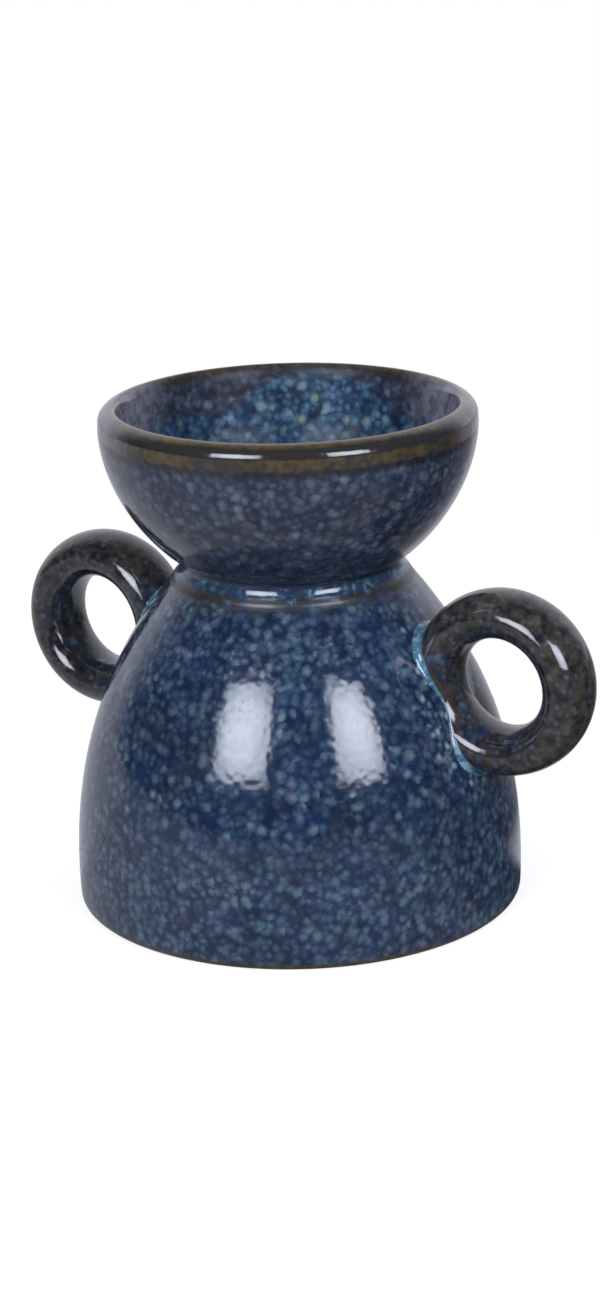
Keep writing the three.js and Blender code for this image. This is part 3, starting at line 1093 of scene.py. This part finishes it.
def lip_glaze(place, height, drift, depth, light):
    """Brown of the lip: an olive band outside, and a crest of thin olive glaze lightened as a painted
    highlight, darker and flecked on its inner side.
    """
    band = (height + drift * LIP_BAND_DRIFT).step(**LIP_BAND) * (1 - depth) * patches(place, **LIP_RUNS)
    # Painted highlight: the crest's olive is raised to stand in for the light on it, over thin glaze
    crest_olive_and_glint = (height + drift * LIP_CREST_DRIFT).step(**LIP_CREST_OLIVE_AND_GLINT)
    lip = thin_brown(place, band.largest(crest_olive_and_glint))
    lip = (depth * LIP_INNER_DARK).tint(lip, UMBER)
    return (light * depth * LIP_INNER_FLECKS).tint(lip, FLECK_SLATE)


def bowl_glaze():
    finish, shader, place = new_finish("bowl_glaze")
    height = place.part("Z")
    depth = place.attribute("inside")
    drift = wander(place, **BOWL_DRIFT)
    end = place.toward(END_WAY)
    ends = (end * end).step(**END_REACH) * height.step(**END_HEIGHTS)
    # Painted reflection: patches of lavender sheen on the inner wall at the two ends
    end_sheen = ends * patches(place, **END_SHEEN_PATCHES)
    slate, light = slate_speckle(place)
    # Painted shade: the outside darkens to deep navy toward the neck, on the bowl's underside
    outside = height.step(**BOWL_SHADE).tint(slate, SHADE_NAVY)
    inside = patches(place, **SMUDGES).tint(slate, UMBER)
    inside = end_sheen.tint(inside, SHEEN_MAUVE)
    ragged = height + drift * LIP_LINE_DRIFT - depth * LIP_INNER_DROP
    under = ragged.step(**UNDER_LIP) * (1 - depth)
    glaze = under.tint(depth.tint(outside, inside), UMBER)
    # Painted reflection: the lip also turns to the lavender sheen towards the two ends
    lip_end_sheen = (end * end).step(**LIP_END_REACH) * patches(place, **LIP_END_SHEEN_PATCHES)
    lip = lip_end_sheen.largest(end_sheen * depth).tint(lip_glaze(place, height, drift, depth, light), SHEEN_MAUVE)
    thin = ragged.step(**LIP_LINE)
    glaze = thin.tint(glaze, lip)
    glossy(shader, place, glaze, light * (1 - thin) * BOWL_DOT_ROUGHNESS)
    crystals, _ = crystal_speckle(place)
    climb = place.toward(POUR_WAY).step(**POUR_CLIMB)
    pooled = (height + drift * POOL_EDGE_DRIFT - climb).step(**POOL_EDGE)
    sockets = {
        "Base Color": pooled.tint(glaze, crystals),
        "Roughness": SATIN_ROUGHNESS,
        "IOR": SATIN_INDEX,
        "Normal": peel(place),
    }
    satin = place.node("ShaderNodeBsdfPrincipled", {}, sockets)
    gloss = Channel(place.tree, shader.outputs[0])
    both = place.node("ShaderNodeMixShader", {}, {0: depth * (1 - ends), 1: gloss, 2: satin})
    feed(place.tree.nodes["Material Output"], "Surface", both)
    return finish


# Handles: bronze on the outer side, specks, blue near the root and round the hole, rust at the root
RING_DRIFT = dict(size=2.6, reach=1.0)
ROOT_DRIFT = 2.4
OUTER_DRIFT = 2.0
RING_GROUND = dict(size=3.4, fineness=2.0, start=0.36, end=0.64)
BRONZING = dict(size=2.6, fineness=4.0, start=0.3, end=0.78, shift=(7, 3, 1))
BRONZE_SIDE = dict(start=-0.7, end=0.5, least=0.45, most=0.95)
RING_STIR = dict(size=2.6, reach=1.0)
RING_SPECKS = dict(size=1.5, shift=(5, 3.5, 6.5), rarity=0.2)
RING_SPECK_SHARE = 0.7
RING_SPECK_ROUGHNESS = 0.2
ROOT_BLUE = dict(start=11, end=4)
HOLE_BLUE = dict(start=0.0, end=-1.1, most=0.9)
RING_BLUES = dict(size=4.0, start=0.46, end=0.6, most=0.8, shift=(19, 2, 3))
ROOT_RUST = dict(start=1.8, end=0.9, most=0.45)


def handle_glaze():
    finish, shader, place = new_finish("handle_glaze")
    drift = wander(place, **RING_DRIFT)
    root = place.attribute("root") + drift * ROOT_DRIFT
    outer = place.attribute("outer") + drift * OUTER_DRIFT
    blue, _ = blue_speckle(place)
    glaze = patches(place, **RING_GROUND).tint(GRAPHITE, DUSK)
    bronze = patches(place, **BRONZING) * outer.step(**BRONZE_SIDE)
    glaze = bronze.tint(glaze, BRONZE)
    specks = blobs(place.moved(stir(place, **RING_STIR)), **RING_SPECKS)
    glaze = (specks * RING_SPECK_SHARE).tint(glaze, HEATHER)
    near = root.step(**ROOT_BLUE).largest(outer.step(**HOLE_BLUE))
    glaze = (patches(place, **RING_BLUES) * near).tint(glaze, blue)
    glaze = root.step(**ROOT_RUST).tint(glaze, RUST)
    glossy(shader, place, glaze, specks * RING_SPECK_ROUGHNESS)
    return finish


# Pooled glaze of the collar and the beads; drops below the crease in millimetres
POOL_BLUES = dict(size=2.6, start=0.42, end=0.62)
POOL_TEALS = dict(size=2.0, start=0.46, end=0.62, shift=(9, 4, 2))
POOL_PALES = dict(size=1.3, fineness=2.0, start=0.56, end=0.7, most=0.6, shift=(3, 8, 5))
COLLAR_DRIFT = dict(size=2.2, reach=1.8)
COLLAR_POOLS = dict(size=1.7, fineness=2.0, start=0.4, end=0.65, most=0.75)
# Painted shade: deep navy in the crease, on the bowl's side of the collar
CREASE_SHADE = dict(start=-0.5, end=0.7)
RIDGE_BROWN = dict(start=1.7, end=2.7)
RIDGE_BREAK = dict(size=3.0, start=0.26, end=0.56)
RIDGE_OLIVE = 0.1
RIDGE_FOOT = dict(start=3.6, end=5.4)
RIDGE_DULL = dict(start=1.8, end=2.8, most=0.3)
COLLAR_DOT_ROUGHNESS = 0.2
BEAD_DRIFT = dict(size=1.8, fineness=2.0, reach=0.5)
BEAD_TEALS = dict(size=3.0, fineness=2.0, start=0.4, end=0.6)
BEAD_PALES = dict(size=2.2, fineness=2.0, start=0.48, end=0.64, most=0.7, shift=(6, 1, 12))
BEAD_RUST = dict(start=0.15, end=0.0)
BEAD_FOOT = dict(start=0.75, end=1.0)
BEAD_DOT_ROUGHNESS = 0.18


def pooled_glaze(place, ground):
    """Glaze as it gathers in a crease: mottled from a ground to bright blue and teal."""
    pooled = patches(place, **POOL_BLUES).tint(ground, POOL_BLUE)
    pooled = patches(place, **POOL_TEALS).tint(pooled, POOL_TEAL)
    return patches(place, **POOL_PALES).tint(pooled, POOL_PALE)


def collar_glaze():
    finish, shader, place = new_finish("collar_glaze")
    drop = NECK_HEIGHT / MM - place.part("Z") + wander(place, **COLLAR_DRIFT)
    blue, light = blue_speckle(place)
    pooled = patches(place, **COLLAR_POOLS).tint(POOL_SLATE, pooled_glaze(place, POOL_SLATE))
    # Painted shade: the crease and the bowl's side of the collar turn deep navy
    glaze = drop.step(**CREASE_SHADE).tint(SHADE_NAVY, pooled)
    thin = drop.step(**RIDGE_BROWN) * patches(place, **RIDGE_BREAK)
    glaze = thin.tint(glaze, thin_brown(place, RIDGE_OLIVE))
    glaze = drop.step(**RIDGE_FOOT).tint(glaze, blue)
    glossy(shader, place, glaze, (light * COLLAR_DOT_ROUGHNESS).largest(drop.step(**RIDGE_DULL)))
    return finish


def bead_glaze():
    finish, shader, place = new_finish("bead_glaze")
    across = place.attribute("across") + wander(place, **BEAD_DRIFT)
    blue, light = blue_speckle(place)
    pooled = patches(place, **BEAD_TEALS).tint(pooled_glaze(place, POOL_BLUE), POOL_TEAL)
    pooled = patches(place, **BEAD_PALES).tint(pooled, POOL_PALE)
    glaze = across.step(**BEAD_RUST).tint(pooled, RUST)
    glaze = across.step(**BEAD_FOOT).tint(glaze, blue)
    glossy(shader, place, glaze, light * BEAD_DOT_ROUGHNESS)
    return finish


# Finishes of the tealight, each with a grain between two shades
GRAIN_LEVELS = dict(start=0.3, end=0.7)
FOIL = dict(
    shades=(colour(0.72, 0.73, 0.75), colour(0.84, 0.85, 0.86)),
    roughness=(0.16, 0.36),
    grain=dict(size=1.5, fineness=4.0),
    relief=0.03 * MM,
    metallic=1.0,
)
WAX = dict(
    shades=(colour(0.82, 0.78, 0.68), colour(0.9, 0.87, 0.8)),
    roughness=(0.3, 0.55),
    grain=dict(size=6.0, fineness=4.0),
    ripples=dict(size=3.0),
    relief=0.05 * MM,
)
TIN = dict(
    shades=(colour(0.5, 0.51, 0.53), colour(0.64, 0.65, 0.66)),
    roughness=(0.25, 0.55),
    grain=dict(size=1.2),
    metallic=1.0,
)
COTTON = dict(
    shades=(colour(0.7, 0.64, 0.5), colour(0.86, 0.82, 0.72)),
    roughness=(0.65, 0.85),
    grain=dict(size=0.25),
    relief=0.06 * MM,
)
WAX_GLOW = 0.3
WAX_GLOW_RADIUS = (3 * MM, 2 * MM, 1.5 * MM)


def grained(name, shades, roughness, grain, ripples=None, relief=0.0, metallic=0.0):
    """A plain finish: a grain between two shades and two roughnesses, with a slight relief."""
    finish, shader, place = new_finish(name)
    shade = place.noise(**grain)
    feed(shader, "Base Color", shade.step(**GRAIN_LEVELS).tint(*shades))
    feed(shader, "Roughness", shade.between(*roughness))
    shader.inputs["Metallic"].default_value = metallic
    feed(shader, "Normal", place.bump(place.noise(**(ripples or grain)), relief))
    return finish


def wax():
    finish = grained("candle_wax", **WAX)
    inputs = finish.node_tree.nodes["Principled BSDF"].inputs
    inputs["Subsurface Weight"].default_value = WAX_GLOW
    inputs["Subsurface Radius"].default_value = WAX_GLOW_RADIUS
    inputs["Subsurface Scale"].default_value = 1.0
    return finish


# Pieces on their bodies

def settle(piece, finish, body, node):
    piece.data.materials.clear()
    piece.data.materials.append(finish)
    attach(piece, body)
    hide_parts(node)


beaded = bead_glaze()
ringed = handle_glaze()
right_handle = make_handle()
left_handle = mirrored(right_handle, "ring_handle_left")
right_bead = make_bead()
left_bead = mirrored(right_bead, "slip_bead_left")

settle(make_dome(), dome_glaze(), "burner", "dome_body")
settle(make_bowl(), bowl_glaze(), "burner", "melt_bowl")
settle(make_collar(), collar_glaze(), "burner", "neck_slip_collar")
settle(right_handle, ringed, "burner", "right_handle")
settle(left_handle, ringed, "burner", "left_handle")
settle(right_bead, beaded, "burner", "right_slip_seam")
settle(left_bead, beaded, "burner", "left_slip_seam")
settle(make_cup(), grained("cup_foil", **FOIL), "tealight", "tealight_cup")
settle(make_wax(), wax(), "tealight", "tealight_wax")
settle(make_wick(), grained("wick_cotton", **COTTON), "tealight", "wick")
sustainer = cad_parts["wick_sustainer"]
sustainer.data.materials.clear()
sustainer.data.materials.append(grained("sustainer_tin", **TIN))


# Camera, at the photograph's place

CAMERA_AZIMUTH = math.radians(32.48)
CAMERA_ELEVATION = math.radians(17.94)
CAMERA_ROLL = -0.028
CAMERA_DISTANCE = 689.8 * MM
CAMERA_AIM_ASIDE = 1.28 * MM
CAMERA_AIM_HEIGHT = 57.36 * MM
CAMERA_LENS = 82.22
SENSOR = 36

camera_right = Vector((math.cos(CAMERA_AZIMUTH), math.sin(CAMERA_AZIMUTH), 0))
camera_back = Vector(
    (
        math.sin(CAMERA_AZIMUTH) * math.cos(CAMERA_ELEVATION),
        -math.cos(CAMERA_AZIMUTH) * math.cos(CAMERA_ELEVATION),
        math.sin(CAMERA_ELEVATION),
    )
)
camera_up = camera_back.cross(camera_right)
aim = CAMERA_AIM_ASIDE * camera_right + Vector((0, 0, CAMERA_AIM_HEIGHT))


def make_camera():
    camera = bpy.data.objects.new("camera", bpy.data.cameras.new("camera"))
    bpy.context.scene.collection.objects.link(camera)
    camera.data.lens = CAMERA_LENS
    camera.data.sensor_width = SENSOR
    across = math.cos(CAMERA_ROLL) * camera_right + math.sin(CAMERA_ROLL) * camera_up
    upward = math.cos(CAMERA_ROLL) * camera_up - math.sin(CAMERA_ROLL) * camera_right
    turn = Matrix((across, upward, camera_back)).transposed().to_4x4()
    camera.matrix_world = Matrix.Translation(aim + CAMERA_DISTANCE * camera_back) @ turn
    bpy.context.scene.camera = camera


# Soft boxes, brightest in the middle of their cloth
BOX_DISTANCE = 1.0
BOX_AIM = Vector((0, 0, 0.06))
BOX_COLOUR = (0.83, 0.87, 1.0)
BOX_HOT = 1.37
BOX_FADE = 2.2
TO_CLOTH_MIDDLE = (-0.5, -0.5, 0)
LEFT_BOX = dict(
    direction=Vector((-0.02, -0.891, 0.454)),
    back=Vector((0.239, -0.925, 0.297)),
    width=0.52,
    height=0.48,
    power=7.6,
)
RIGHT_BOX = dict(
    direction=Vector((0.837, -0.311, 0.451)),
    back=Vector((0.754, -0.657, 0)),
    width=0.465,
    height=0.52,
    power=7.4,
)

# Room in gloss and as fill light: levels ahead and behind, and how far round they change
WHITE = colour(1, 1, 1)
BLACK = colour(0, 0, 0)
ROOM_COLOUR = colour(0.96, 0.96, 1.06)
ROOM_LEVELS = (0.02, 0.85)
ROOM_BACK = dict(start=-0.1, end=0.6)
ROOM_SIDES = dict(start=0.97, end=0.42)
FILL = dict(start=-0.2, end=0.5, least=0.23, most=1.2)

# Floor: a white sheet with a soft shadow to the eye, darker and lighter parts in gloss
FLOOR_SIZE = 6.0
FLOOR_DROP = 0.05 * MM
FLOOR_REACH = dict(start=0.12, end=0.4)
FLOOR_SHADE = colour(0.4, 0.4, 0.4)
FLOOR_LIFTS = (0.74, 1.0)
FLOOR_FRONT = 0.25
FLOOR_BACK = 0.62
FLOOR_RIGHT = 0.04
BACK_TURN = dict(start=0.2, end=0.8)
BACK_SIDE = dict(start=0.75, end=0.5)
LEFT_TURN = dict(start=0.05, end=0.3, least=0.43, most=0.63)
LEFT_SIDE = dict(start=-0.2, end=-0.6)
RIGHT_TURN = dict(start=-0.75, end=-0.4)
RIGHT_SIDE = dict(start=0.72, end=1.0)
FOOT_TURN = dict(start=0.0, end=0.2)
FOOT_REACH = dict(start=0.1, end=0.065, most=0.62)


def make_box(name, direction, back, width, height, power):
    lamp = bpy.data.lights.new(name, "AREA")
    lamp.shape = "RECTANGLE"
    lamp.size = width
    lamp.size_y = height
    lamp.energy = power
    lamp.color = BOX_COLOUR
    lamp.use_nodes = True
    tree = lamp.node_tree
    cloth = Channel(tree, tree.nodes.new("ShaderNodeNewGeometry").outputs["Parametric"])
    off_middle = cloth.moved(TO_CLOTH_MIDDLE).span()
    feed(tree.nodes["Emission"], "Strength", BOX_HOT - off_middle * off_middle * BOX_FADE)
    box = bpy.data.objects.new(name, lamp)
    bpy.context.scene.collection.objects.link(box)
    box.location = BOX_AIM + BOX_DISTANCE * direction.normalized()
    box.rotation_mode = "QUATERNION"
    box.rotation_quaternion = back.to_track_quat("Z", "Y")


def seen_rays(channel):
    """Where the background shows: to the camera, and in gloss and glass."""
    path = channel.node("ShaderNodeLightPath", {}, {})
    camera = path.other("Is Camera Ray")
    mirrored_rays = path.other("Is Glossy Ray").largest(path.other("Is Transmission Ray"))
    return camera, mirrored_rays


def make_world():
    world = bpy.data.worlds.new("studio")
    world.use_nodes = True
    bpy.context.scene.world = world
    tree = world.node_tree
    background = tree.nodes["Background"]
    way = Channel(tree, tree.nodes.new("ShaderNodeTexCoord").outputs["Generated"])
    camera, mirrored_rays = seen_rays(way)
    behind = way.toward(-camera_back)
    aside = way.toward(camera_right)
    room = (behind.step(**ROOM_BACK) * (aside * aside).step(**ROOM_SIDES)).between(*ROOM_LEVELS)
    fill = behind.step(**FILL)
    level = camera.largest(mirrored_rays * room).largest((1 - mirrored_rays.largest(camera)) * fill)
    feed(background, "Strength", level)
    feed(background, "Color", camera.tint(ROOM_COLOUR, WHITE))


def make_floor():
    bpy.ops.mesh.primitive_plane_add(size=FLOOR_SIZE, location=(0, 0, -FLOOR_DROP))
    floor = bpy.context.object
    floor.name = "studio_floor"
    finish = bpy.data.materials.new("studio_floor")
    finish.use_nodes = True
    tree = finish.node_tree
    tree.nodes.remove(tree.nodes["Principled BSDF"])
    place = Channel(tree, tree.nodes.new("ShaderNodeTexCoord").outputs["Object"])
    camera, mirrored_rays = seen_rays(place)
    away = place.span()
    far = away.step(**FLOOR_REACH)
    matt = place.node("ShaderNodeBsdfDiffuse", {}, {"Color": far.tint(FLOOR_SHADE, BLACK)})
    lift = camera * far.between(*FLOOR_LIFTS)
    glow = place.node("ShaderNodeEmission", {}, {"Color": WHITE, "Strength": lift})
    seen = place.node("ShaderNodeAddShader", {}, {0: matt, 1: glow})
    way = place.vector("NORMALIZE", {})
    behind = way.toward(-camera_back)
    aside = way.toward(camera_right)
    lit_back = behind.step(**BACK_TURN) * aside.step(**BACK_SIDE)
    lit_left = behind.step(**LEFT_TURN) * aside.step(**LEFT_SIDE)
    lit_foot = behind.step(**FOOT_TURN) * away.step(**FOOT_REACH)
    dark_right = behind.step(**RIGHT_TURN) * aside.step(**RIGHT_SIDE)
    level = lit_back.between(FLOOR_FRONT, FLOOR_BACK) + dark_right * (FLOOR_RIGHT - FLOOR_FRONT)
    level = level.largest(lit_left).largest(lit_foot)
    shine = place.node("ShaderNodeEmission", {}, {"Color": ROOM_COLOUR, "Strength": level})
    both = place.node("ShaderNodeMixShader", {}, {0: mirrored_rays, 1: seen, 2: shine})
    feed(tree.nodes["Material Output"], "Surface", both)
    floor.data.materials.append(finish)


make_camera()
make_box("left_softbox", **LEFT_BOX)
make_box("right_softbox", **RIGHT_BOX)
make_world()
make_floor()
bpy.context.scene.view_settings.view_transform = "Standard"
